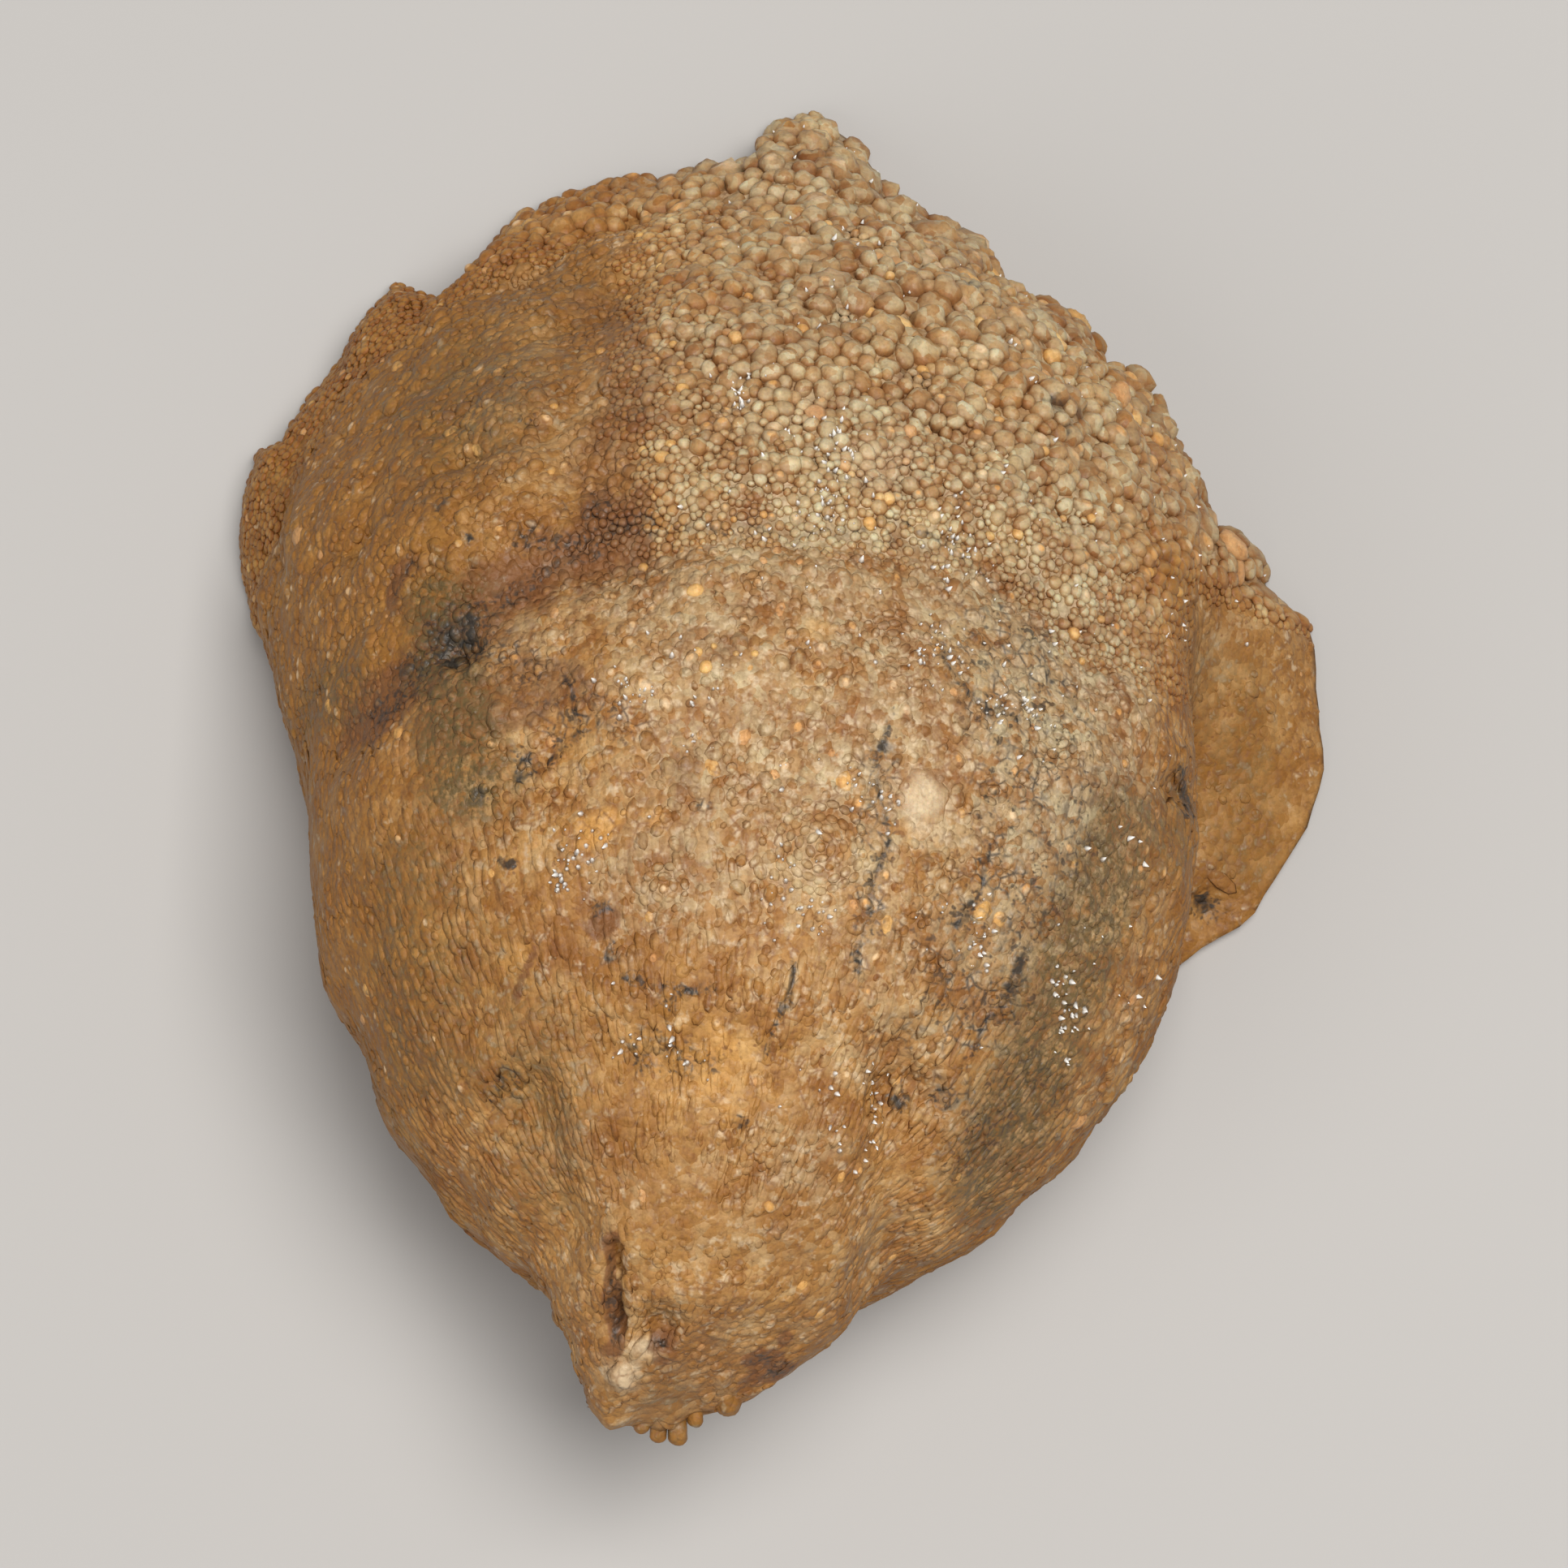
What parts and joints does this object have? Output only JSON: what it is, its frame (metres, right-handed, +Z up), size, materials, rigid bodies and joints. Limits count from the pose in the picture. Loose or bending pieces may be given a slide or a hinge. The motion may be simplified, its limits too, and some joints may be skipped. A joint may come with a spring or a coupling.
{
  "type": "fossil horn coral",
  "caption": "Silicified solitary horn coral, short, wide and curved, lumpy towards its broken rim, lying mouth down on its calice.",
  "frame": {"origin": "on the ground under the middle of the coral's bounding box, as it lies mouth down on its rim", "axes": "+Z up; the snapped tip of the horn leans out to -Y and the pointed back of the rim is at +Y; the flared ear is at +X"},
  "size_m": [0.0439, 0.0566, 0.0256],
  "materials": {
    "silicified_coral": "satin, grainy"
  },
  "bodies": {
    "root": {"horn_coral": "silicified_coral"}
  },
  "joints": []
}
